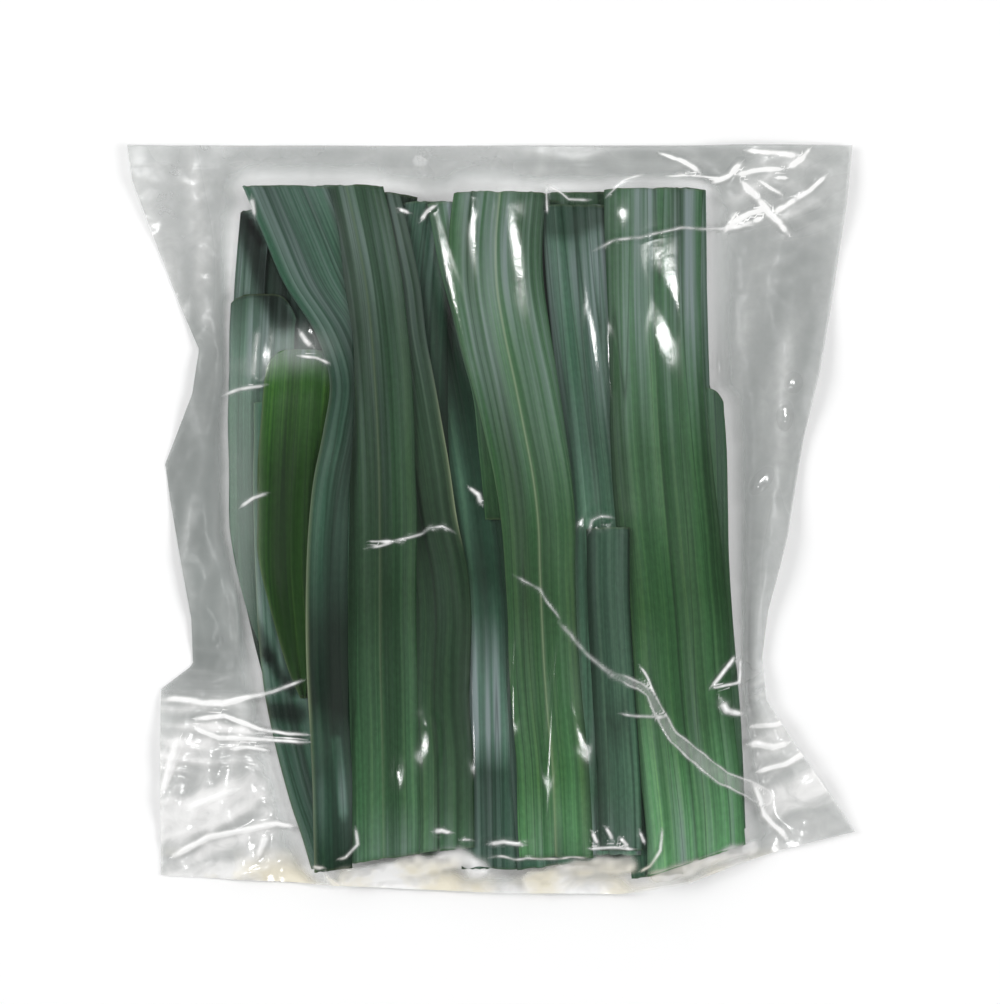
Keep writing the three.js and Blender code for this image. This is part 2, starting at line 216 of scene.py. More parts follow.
def spread(field, rounds, widest=np.maximum):
    # each point takes the largest (or smallest) of itself and its four neighbours
    for _ in range(rounds):
        wide = np.pad(field, 1, mode="edge")
        beside = (wide[2:, 1:-1], wide[:-2, 1:-1], wide[1:-1, 2:], wide[1:-1, :-2])
        field = widest.reduce((field, *beside))
    return field


def soften(field, rounds, acrossRounds=None):
    # each point takes a weighted mean of itself and its neighbours, first along the rows
    for times in (rounds, rounds if acrossRounds is None else acrossRounds):
        for _ in range(times):
            padded = np.concatenate([field[:1], field, field[-1:]])
            field = (padded[:-2] + padded[2:]) / 4 + field / 2
        field = field.T
    return field


leaf = {
    "bladeThickness": 0.45 * mm,
    "cadThickness": 0.7 * mm,
    "shownCell": (0.65 * mm, 2.0 * mm),  # across and along
    "hiddenCell": (2.4 * mm, 4.5 * mm),
    "pleats": [(3.3, 0.04), (6.1, 0.06)],  # spacing and height, mm
    "waves": [(14.0, 0.05), (40.0, 0.2)],  # patch length and height, mm
    "gap": 0.08 * mm,  # between a blade and those under it
    "rimCurl": 0.2,  # mm
    "ribGroove": (0.4, 0.7),  # depth and half-width, mm
    "cutRoughness": 0.5,  # mm
    "roundHead": (0.8, 0.8),  # mm, how much its left and right corners are rounded
    "roundLength": 12,  # mm, how far down they are
    "wander": (18, 0.25),  # patch and distance of its rims' waves, mm
    "folded": {"leaf_left_fold": "left", "leaf_middle_short": "right"},  # the fold's side
    # the bunch gets lower towards its ends
    "crownStart": (52, 58),  # mm from the middle, foot and head
    "crownEnd": 126,
    "crownShare": (0.1, 0.06, 0.17),  # foot, head at the left, head at the right
    "crownTurn": (-40, -5),  # mm, between the head's left and right
    "toneAt": (-110, -28, 72),  # mm, where light and bloom are given: foot, middle, head
}

# Finish of the blades that show, from foot to head at the places in "at": light is how pale
# its green is, partly its own tone and partly painted shade and light: darker where a blade lies
# low in a gap, paler where it catches the lamps; bloom how much grey wax and painted sheen lies
# on it; rims how pale (above 0, partly a painted highlight) or shaded (below 0, painted shade)
# its left and right edges are; and rib how pale or dark the line of its midrib is. A dim place
# is painted shade, or painted sheen where its amount is below 0: route, half-width and light lost.
shownLeaves = {
    "leaf_left_rear": {
        "at": (60, 72, 92, 108), "light": (0.3, 0.85, 0.95, 0.8), "bloom": (0.1, 0.6, 0.6, 0.6),
        "dim": [([(-86, 103), (-80, 86), (-75, 70)], 4.7, 0.88),
                ([(-88, 108.5), (-81, 98)], 1.8, 0.85)]},
    "leaf_left_tip": {
        "at": (-30, 40, 58, 70, 80), "light": (0.75, 1.19, 1.35, 0.8, 0.5),
        "bloom": (0.0, 0.1, 0.62, 0.45, 0.1), "roundHead": (3, 9),
        "dim": [([(-92, 79.5), (-80, 79)], 1.2, 0.7), ([(-78, 80), (-73, 70)], 4.7, 0.8)]},
    "leaf_left_low": {
        "at": (-116, -70, -28, 30, 72), "light": (0.92, 0.85, 1.3, 1.7, 1.3),
        "bloom": (0.17, 0.22, 0.6, 0.43, 0.25), "rims": (0.3, 0),
        "dim": [([(-86.5, -30), (-81.5, -41), (-78, -48)], 3, 0.75),
                ([(-79, -47), (-74.5, -54), (-69.5, -60)], 2.1, 0.75),
                ([(-79, -67), (-68, -68)], 4, 0.78)]},
    "leaf_right_rear": {"light": (0.8, 0.9, 1.15), "bloom": (0.1, 0.15, 0.55)},
    "leaf_right_edge": {
        "light": (2.2, 1.0, 1.3), "bloom": (0.3, 0.02, 0.4), "rims": (0, -0.3),
        "roundHead": (0.8, 5)},
    "leaf_gap_leaf": {
        "at": (-118, -90, -76, -60, -48, -34, -20, 15, 40),
        "light": (0.84, 0.62, 1.65, 1.7, 1.07, 0.84, 0.55, 0.98, 0.46),
        "bloom": (0.32, 0.11, 0.8, 0.66, 0.46, 0.07, 0, 0.05, 0), "rims": (-0.8, -0.3)},
    "leaf_middle_low": {"light": (1.5, 0.6, 0.5), "bloom": (0.3, 0, 0.05), "rims": (-0.6, 0)},
    "leaf_right_low": {"light": (1.1, 0.5, 0.5), "bloom": (0.05, 0, 0)},
    "leaf_left_inner": {
        "at": (-110, 40, 72, 92, 108), "light": (0.3, 0.33, 0.36, 0.63, 0.8),
        "bloom": (0, 0, 0.03, 0.17, 0.35), "rims": (-0.5, -0.5)},
    "leaf_left_bright": {
        "at": (-75, -28, 20, 45, 51, 55, 62), "light": (0.7, 0.56, 0.54, 0.99, 1.3, 1.3, 1.3),
        "bloom": (0, 0, 0, 0.01, 0.2, 0.95, 1.1), "rims": (0.25, -0.4), "roundHead": (7, 3)},
    "leaf_middle_grey": {
        "at": (-118, -95, -75, -28, 30, 80, 92, 98, 102),
        "light": (3.3, 2.8, 3.2, 1.85, 0.98, 1.3, 1.18, 1.15, 0.52),
        "bloom": (0.76, 0, 0.18, 0, 0.16, 0.54, 0.55, 0.38, 0.12), "rims": (-0.6, -0.7),
        "rib": -0.35},
    "leaf_middle_left": {
        "at": (-60, -28, 20, 72, 100), "light": (1.0, 0.8, 1.0, 1.25, 1.5),
        "bloom": (0, 0, 0.06, 0.4, 0.75)},
    "leaf_left_right_hand": {
        "at": (-118, -100, -60, -15, 0, 30, 72, 100),
        "light": (1.8, 1.1, 0.65, 0.4, 0.36, 0.46, 0.36, 0.47),
        "bloom": (0.35, 0.08, 0.07, 0.03, 0.03, 0.08, 0.2, 0.24),
        "rims": (-0.45, (-0.5, -0.7, -0.7, -0.2, 0.95, 0.7, -0.2, -0.3)), "rib": -0.5},
    "leaf_left_middle": {
        "at": (-118, -100, -60, -28, 20, 72, 100),
        "light": (1.53, 1.34, 0.9, 0.6, 0.61, 0.6, 0.74),
        "bloom": (0.34, 0.03, 0.05, 0, 0.09, 0.16, 0.32), "rims": (-0.5, -0.3), "rib": 0.15},
    "leaf_left_fold": {
        "at": (-118, -95, -82, -65, -35, 0, 45, 70, 95),
        "light": (0.38, 0.7, 0.65, 0.18, 0.25, 0.84, 0.52, 0.9, 0.95),
        "bloom": (0, 0.23, 0.06, 0, 0, 0.1, 0.1, 0.35, 0.45),
        "rims": (-0.5, 0), "rib": (0.3, 0.3, 0.3, 0.6, 0.6, 0.35, 0.1, 0, 0),
        "dim": [([(-54.5, -77), (-53, -90), (-51.8, -103)], 1.7, -1.8)]},
    "leaf_middle_broad": {
        "at": (-116, -90, -60, -28, 0, 40, 72, 100),
        "light": (1.88, 1.17, 1.0, 0.73, 0.82, 1.04, 1.26, 0.98),
        "bloom": (0.25, 0, 0.13, 0.01, 0.05, 0.29, 0.48, 0.48), "rims": (0.1, -0.35),
        "rib": 0.4},
    "leaf_right_broad": {
        "at": (-118, -90, -70, -28, 20, 50, 72, 100),
        "light": (2.96, 1.98, 1.14, 0.82, 0.83, 1.09, 1.36, 1.08),
        "bloom": (0.41, 0.22, 0.13, 0, 0.09, 0.34, 0.63, 0.54), "rims": (-0.5, -0.2),
        "rib": -0.55},
    "leaf_middle_short": {
        "at": (-116, -95, -28, -5), "light": (0.87, 1.05, 0.7, 0.74),
        "bloom": (0.19, 0, 0.05, 0.1), "rims": (-0.6, 0), "rib": -0.85},
}
# The hidden blades show only in the gaps: their low light is painted shade, and their dim place
# near the head, below 0, a painted sheen.
hiddenLeaf = {"light": (0.35, 0.25, 0.2), "bloom": (0, 0, 0.1),
              "dim": [([(16, 114), (42, 114)], 6, -2.6)]}


def crownAt(x, y):
    # how much of its height the bunch keeps, x and y in metres
    footStart, headStart = leaf["crownStart"]
    foot, headLeft, headRight = leaf["crownShare"]
    head = headLeft + (headRight - headLeft) * smoothstep(*leaf["crownTurn"], x / mm)
    thinner = head * smoothstep(headStart, leaf["crownEnd"], y / mm)
    return 1 - thinner - foot * smoothstep(footStart, leaf["crownEnd"], -y / mm)


def guideOf(node):
    # the node's blade as rows of points from foot to head, each row from left to right,
    # along the blade's middle surface; a folded blade's row goes round the fold
    points = nodePoints(node)
    foldSide = leaf["folded"].get(node)
    perRow = 12 if foldSide else 10
    points = points[np.argsort(points[:, 1])]
    # a slanted foot mixes no rows, because its rise is less than the rows' spacing
    rows = [points[i:i + perRow] for i in range(0, len(points), perRow)]
    half = leaf["cadThickness"] / 2
    guide = []
    for row in rows:
        row = row[np.argsort(row[:, 0])]
        if not foldSide:
            guide.append([row[i:i + 2].mean(axis=0) for i in range(0, perRow, 2)])
            continue
        if foldSide == "left":
            row = row[::-1]
        upper, lower = [], []
        for i, take in ((0, 4), (4, 4), (10, 2)):
            column = row[i:i + take]
            top, bottom = column[column[:, 2].argmax()], column[column[:, 2].argmin()]
            upper.append(top - [0, 0, half])
            lower.append(bottom + [0, 0, half])
        radius = (upper[2][2] - lower[2][2]) / 2
        inward = [np.sign(upper[1][0] - upper[2][0]) * radius, 0, 0]
        bend = (upper[2] + lower[2]) / 2
        upper[2], lower[2] = upper[2] + inward, lower[2] + inward
        guide.append([*upper, bend, *lower[::-1]])
    guide = np.array(guide)
    guide[..., 2] *= crownAt(guide[..., 0], guide[..., 1])
    return guide


def bladePoints(node, seed, look, folded):
    # the fine middle surface of a blade, with its place across and along in millimetres
    guide = guideOf(node)
    coarse = look is hiddenLeaf
    acrossCell, alongCell = leaf["hiddenCell" if coarse else "shownCell"]
    length, width = sizeOf(guide)
    rows, columns = int(length / alongCell) + 1, int(width / acrossCell) // 2 * 2 + 1
    fine = resample(guide, rows).swapaxes(0, 1)
    if folded:
        # each flat half gets its share of columns, and the fold its own few
        flat, fold = columns // 2 - 2, resample(fine[2:5], 5)[1:-1]
        fine = np.concatenate([resample(fine[:3], flat), fold, resample(fine[4:], flat)])
    else:
        fine = resample(fine, columns)
    fine = fine.swapaxes(0, 1)
    rows, columns = fine.shape[:2]
    share, along = np.meshgrid(np.linspace(-1, 1, columns), np.linspace(0, 1, rows) * length / mm)
    steps = np.linalg.norm(np.diff(fine, axis=1), axis=2)
    across = np.pad(np.cumsum(steps, axis=1), ((0, 0), (1, 0)))
    across = (across - across[:, -1:] / 2) / mm
    draw = np.random.default_rng(seed)
    relief = np.zeros((rows, columns))
    side = np.ones(columns)
    if folded:
        side[columns // 2:] = -1  # the lower half faces down
    for spacing, height in leaf["pleats"]:
        drift = noise(along, across * 0, 60, seed + int(spacing * 10)) * 0.25
        phase = draw.uniform(0, 1)
        strength = 0.6 + 0.4 * noise(across, along / 12, 6, seed + 7 + int(spacing))
        relief += height * strength * np.cos(2 * math.pi * (across / spacing + drift + phase))
    for patch, height in leaf["waves"]:
        relief += height * noise(across / 1.6, along, patch, seed + int(patch))
    relief += leaf["rimCurl"] * np.abs(share) ** 8 * draw.uniform(-0.3, 1)
    if not folded:
        depth, halfWidth = leaf["ribGroove"]
        relief -= depth * np.exp(-np.abs(across) / halfWidth)
    fine[..., 2] += relief * side * mm
    ragged = noise(across, across * 0, 2.6, seed + 3) * leaf["cutRoughness"] * mm
    fine[0, :, 1] += np.abs(ragged[0])
    fine[-1, :, 1] -= np.abs(ragged[-1])
    left, right = look.get("roundHead", leaf["roundHead"])
    corner = np.where(share < 0, left, right) * np.abs(share) ** 4
    nearHead = np.clip(1 - (along.max() - along) / leaf["roundLength"], 0, 1)
    fine[..., 1] -= corner * nearHead * mm
    patch, sideways = leaf["wander"]
    wander = noise(along, share * 30, patch, seed + 5) * sideways * mm
    fine[..., 0] += wander * np.abs(share) ** 3
    if not coarse:
        # no blade cuts into those under it
        needed = readMap(tops, fine[..., 0], fine[..., 1]) + leaf["gap"]
        needed += leaf["bladeThickness"] / 2 - fine[..., 2]
        if folded:
            below = -np.minimum(side, 0)[None, :]
            needed = needed * below - (1 - below)
            needed = np.maximum(needed, needed[:, ::-1])
        fine[..., 2] += soften(spread(np.maximum(needed, 0), 2), 3)
    return fine, across, along, share


def makeLeaf(node, seed):
    folded = node in leaf["folded"]
    look = shownLeaves.get(node, hiddenLeaf)
    fine, across, along, share = bladePoints(node, seed, look, folded)
    middle = fine.shape[1] // 2
    for part in (fine[:, :middle + 1], fine[:, middle:]) if folded else (fine,):
        addToMaps(part, leaf["bladeThickness"] / 2)
    obj = gridObject("blade" + "".join(word.capitalize() for word in node.split("_")[1:]), fine)
    own = np.random.default_rng(seed + 11).uniform(0, 1)
    setAttribute(obj, "bladeMm", across, along, own)
    x, y = fine[..., 0] / mm, fine[..., 1] / mm
    place = y + 5 * noise(x / 3, y / 9, 5, seed + 21)
    at = look.get("at", leaf["toneAt"])
    light, bloom, leftRim, rightRim, rib = (
        np.interp(place, at, amount) if isinstance(amount, tuple) else amount
        for amount in (look["light"], look["bloom"], *look.get("rims", (0, 0)), look.get("rib", 0))
    )
    # the wax and painted sheen lie thicker in long patches; long bands across the blade are paler
    # and darker, painted light and shade of its pleats
    bloom = bloom * (1 + 0.7 * noise(across, along / 9, 4.5, seed + 23))
    light = light * (1 + 0.42 * noise(across, along / 26, 4.2, seed + 24))
    # a dim place is painted shade, or painted sheen where its amount is below 0
    for route, halfWidth, amount in look.get("dim", ()):
        away = np.abs(routeDistance(x, y, route)[0])
        kept = 1 - amount * np.exp(-((away / halfWidth) ** 4))
        light, bloom = light * kept, bloom * kept
    setAttribute(obj, "bladeTone", light, bloom, 0)
    # rims: a pale one is partly a painted highlight along the edge, a shaded one painted shade
    # where the edge curves down
    fromRim = across[:, -1:] - np.abs(across)
    paler = np.where(share < 0, leftRim, rightRim)
    rim = np.exp(-fromRim / 0.5) * np.maximum(paler, 0)
    # a folded blade's midrib lies in its fold, and its first rim is the one that shows
    rib = rib * np.exp(-((across / (0.9 if folded else 0.45)) ** 2))
    # shaded rims add a line of painted shade along the edge to the rib's dark line
    rib = rib + np.exp(-((fromRim / 1.6) ** 2)) * np.minimum(paler, 0)
    ends = np.minimum(along, along.max() - along)
    setAttribute(obj, "bladeLines", rim, rib, ends)
    solidify = obj.modifiers.new("Blade", "SOLIDIFY")
    solidify.thickness = leaf["bladeThickness"]
    solidify.offset = 0
    bpy.ops.object.modifier_apply(modifier=solidify.name)
    obj.data.materials.append(leafMaterials[slotOf[node]])
    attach(obj, "root")
    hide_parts(node)


# Pandan blade: a waxy, fibrous leaf with fine parallel veins. The wax gives a broad soft
# sheen and a grey bloom in streaks, and that grey colour also paints sheen on it; the veins give
# lines of lighter and darker green.
leafColours = {
    # body, vein and hollow between veins
    "leaf_deep": ("#2b4f3b", "#41684a", "#183326"),
    "leaf_mid": ("#2f5234", "#4a6e42", "#1c3621"),
    "leaf_bright": ("#2c5420", "#4c762f", "#1a3c17"),
    "leaf_light": ("#305632", "#4f7742", "#1d3c22"),
    "leaf_grey": ("#345340", "#4e6e56", "#1f3b2d"),
}
leafLook = {
    # Grain along the blade: spacing in mm, how many times longer than wide, detail and shift.
    # Real veins are about 0.5 mm apart, and these are drawn coarser to show.
    "grain": {
        "veins": (0.75, 150, 1.0, 0.0), "bands": (2.4, 70, 2.0, 0.0),
        "pleats": (5.0, 70, 0.0, 7.0), "mottle": (1.4, 1.6, 2.0, 13.0),
    },
    "bloom": "#7c8a8a",
    # rim: pale edges, partly painted highlight; line: dark lines, partly painted shade of shaded
    # rims and folds
    "rim": "#9aa886",
    "line": "#0d1d12",
    "cut": "#7d8f63",
    "roughness": (0.5, 0.34),  # between the raised bands and on them
}


def leafMaterial(slot):
    body, vein, hollow = leafColours[slot]
    material, add, numbers = newMaterial(
        "pandanBlade_" + slot.split("_")[1], "bladeMm", "bladeTone", "bladeLines"
    )
    (across, along, own), (light, bloom, _), (rim, rib, ends) = numbers
    ownShift = add("Math:MULTIPLY", own, 91.0)
    grain = []
    for spacing, stretch, detail, shift in leafLook["grain"].values():
        x, y = add("Math:DIVIDE", across, spacing), add("Math:DIVIDE", along, spacing * stretch)
        point = add("CombineXYZ", x, y, add("Math:ADD", ownShift, shift))
        given = {"Vector": point, "Scale": 1.0, "Detail": detail, "Roughness": 0.55}
        grain.append(add("TexNoise", given))
    veins, bands, pleats, mottle = grain
    tone = add("Mix", {0: 0.6, 2: veins, 3: bands})
    inHollow = add("MapRange", tone, 0.34, 0.5, 0.6, 0.0)
    onVein = add("MapRange", tone, 0.5, 0.68, 0.0, 0.5)
    colour = add("Mix", {0: inHollow, 6: body, 7: hollow}, data_type="RGBA", out=2)
    colour = add("Mix", {0: onVein, 6: colour, 7: vein}, data_type="RGBA", out=2)
    light = add("Math:MULTIPLY", light, add("MapRange", mottle, 0, 1, 0.72, 1.28))
    colour = add("VectorMath:SCALE", {0: colour, "Scale": light})
    # the wax and painted sheen show on the raised bands, and a few thin dark folds, painted shade
    # in the blade's folds, wander along the blade
    waxAndSheenShare = add("Math:MULTIPLY", bloom, add("MapRange", bands, 0.4, 0.64, 0.25, 1.2))
    # the folds' dark colour is painted shade
    fold = add("Math:ABSOLUTE", add("Math:SUBTRACT", pleats, 0.5))
    fold = add("MapRange", fold, 0.0, 0.02, 0.45, 0.0)
    # a dark rib and the shaded rims' painted shade take the dark line colour
    shadedRib = add("Math:MULTIPLY", rib, -1.0)
    rim = add("Math:MULTIPLY", rim, add("Math:ADD", bands, 0.3))
    cut = add("MapRange", ends, 0.3, 1.0, 0.12, 0.0)
    for amount, over in ((waxAndSheenShare, "bloom"), (fold, "line"), (rib, "rim"), (shadedRib, "line"),
                         (rim, "rim"), (cut, "cut")):
        given = {0: amount, 6: colour, 7: leafLook[over]}  # an amount counts from 0 to 1
        colour = add("Mix", given, data_type="RGBA", out=2)
    height = add("Math:MULTIPLY_ADD", veins, 0.6, add("Math:MULTIPLY", bands, 0.8))
    shader = add("BsdfPrincipled", {
        "Base Color": colour, "Specular IOR Level": 0.12,
        "Roughness": add("MapRange", bands, 0, 1, *leafLook["roughness"]),
        "Normal": add("Bump", {"Strength": 0.6, "Distance": 0.25 * mm, "Height": height}),
    })
    add("OutputMaterial", shader, out=None)
    return material


leafMaterials = {slot: leafMaterial(slot) for slot in leafColours}
# from the lowest up, so that each lies on those before it
leafNodes = sorted(node for node in frame["nodes"] if "_under_" in node) + list(shownLeaves)
for number, node in enumerate(leafNodes):
    makeLeaf(node, 100 + 17 * number)
print("leaves made:", len(leafNodes))


studio = {
    "floorColour": "#f7f7f7",
    # a light tent: dim straight above, where the film would mirror it, and bright all round
    "tentColour": "#ffffff",
    "tentStrength": (0.1, 0.5),
    "tentRim": (0.92, 0.45),  # cosines of the angles from overhead where it turns bright
    "tentLean": (-0.3, 0.2),  # how much brighter it is towards the right and the head
    "cameraHeight": 1.25,
    "focusHeight": 0.012,  # where the picture's scale holds, about the leaves' tops
    "pixel": 0.35 * mm,  # of the 1000 by 1004 picture, on the object
    "pictureCentre": (2.98 * mm, 6.3 * mm),
    # place, size and power of each soft light
    "lights": {
        "headLight": ((0.15, 0.42, 1.75), (0.16, 0.18), 3.4),
        "footLight": ((0.0, -0.44, 1.75), (0.14, 0.16), 2.5),
        "leftFill": ((-1.3, 0.35, 1.2), (0.8, 0.8), 17.0),
        "rightFill": ((1.3, -0.15, 1.3), (0.8, 0.8), 16.0),
    },
}

pouch = {
    "cell": 0.87 * mm,
    "top": 132.1,
    # outlines in millimetres, [y, x] along the sides and [x, y] along the foot
    "left": [
        [-125.5, -116.7], [-59.7, -116.7], [-51.3, -105.5], [-34.5, -105.9], [-13.5, -109.7],
        [7.5, -113.6], [19.8, -115.3], [32, -110.4], [44.3, -105.5], [60, -103.1],
        [77.5, -110.8], [100.3, -119.5], [119.5, -126.5], [132.1, -128.3],
    ],
    "right": [
        [-110, 128.3], [-94.7, 117.8], [-78.2, 106.2], [-63.5, 96.8], [-48.5, 95.4],
        [-31.7, 97.5], [-6.5, 104.1], [28.5, 110], [53, 115.7], [77.5, 120.2],
        [110.8, 125.1], [132.1, 127.2],
    ],
    "foot": [
        [-116.7, -125.5], [-67, -127.9], [-32, -130], [3, -131.4], [45, -131.8],
        [69.5, -127.9], [87, -121.3], [104.5, -115.7], [128.3, -110],
    ],
    "drawFront": (0.045 * mm, 320),  # how hard the vacuum pulls each cell, and rounds
    "drawBack": (0.03 * mm, 160),
    "smoothing": (60, 14),  # rounds, along the leaves and across them
    "offBlades": (0.1 * mm, 0.04 * mm),  # the front film's gap to them: drawn, and least
    "offBack": (0.12 * mm, 0.1 * mm),  # and to the back film
    "backRise": (0.9 * mm, 1.2 * mm),  # between blades, from that height and up to that much
    "marginCells": (1, 12),  # outside the bunch, where the margin begins
    "freeCells": (3, 34),  # and where it comes free of the surface
    "marginRise": 3.2,  # mm, how far the free margin stands above the surface
    "dimples": ((0.22, 5.5), (0.1, 2.7)),  # height and patch, mm
    "sealWidth": 7.0,  # mm, the welded band at the head
    "sealRibs": (0.12, 1.75),  # height and spacing, mm
    "straight": 88.0,  # mm from the middle, where the grid's columns are straight
    "glintReach": 1.7,  # of a glinting patch, in its own half-widths
    "glintBend": 0.04,  # how much its slope changes out to its reach
    "glintLeast": 2.3,  # mm, least reach across
    "plainGloss": 0.4,  # of the margin where it isn't creased
}


def pouchPlan():
    # the pouch's plan as a grid of x, y in millimetres, with straight columns over the bunch
    columns, rows = int(0.2566 / pouch["cell"]), int(0.2642 / pouch["cell"])
    inner = int(2 * pouch["straight"] * mm / pouch["cell"])
    left = (columns - inner) // 2
    number = np.arange(columns)[None, :]
    t = np.linspace(0, 1, rows)[:, None]

    def columnAt(leftEdge, rightEdge):
        onLeft = np.clip(number / left, 0, 1)
        onRight = np.clip((number - left - inner) / (columns - 1 - left - inner), 0, 1)
        middle = np.clip((number - left) / inner, 0, 1) * 2 - 1
        x = middle * pouch["straight"] + (1 - onLeft) * (leftEdge + pouch["straight"])
        return x + onRight * (rightEdge - pouch["straight"])

    lowX = columnAt(pouch["foot"][0][0], pouch["foot"][-1][0])
    y = np.interp(lowX, *zip(*pouch["foot"])) * (1 - t) + pouch["top"] * t
    return columnAt(*(np.interp(y, *zip(*pouch[side])) for side in ("left", "right"))), y


def relax(floor, press, rounds):
    # a film drawn down on to floor, held up by its own tension
    film = floor.copy()
    for _ in range(rounds):
        mean = film.copy()
        mean[1:-1, 1:-1] = (
            film[:-2, 1:-1] + film[2:, 1:-1] + film[1:-1, :-2] + film[1:-1, 2:]
        ) / 4 - press / 4
        film = np.maximum(floor, mean)
    return film
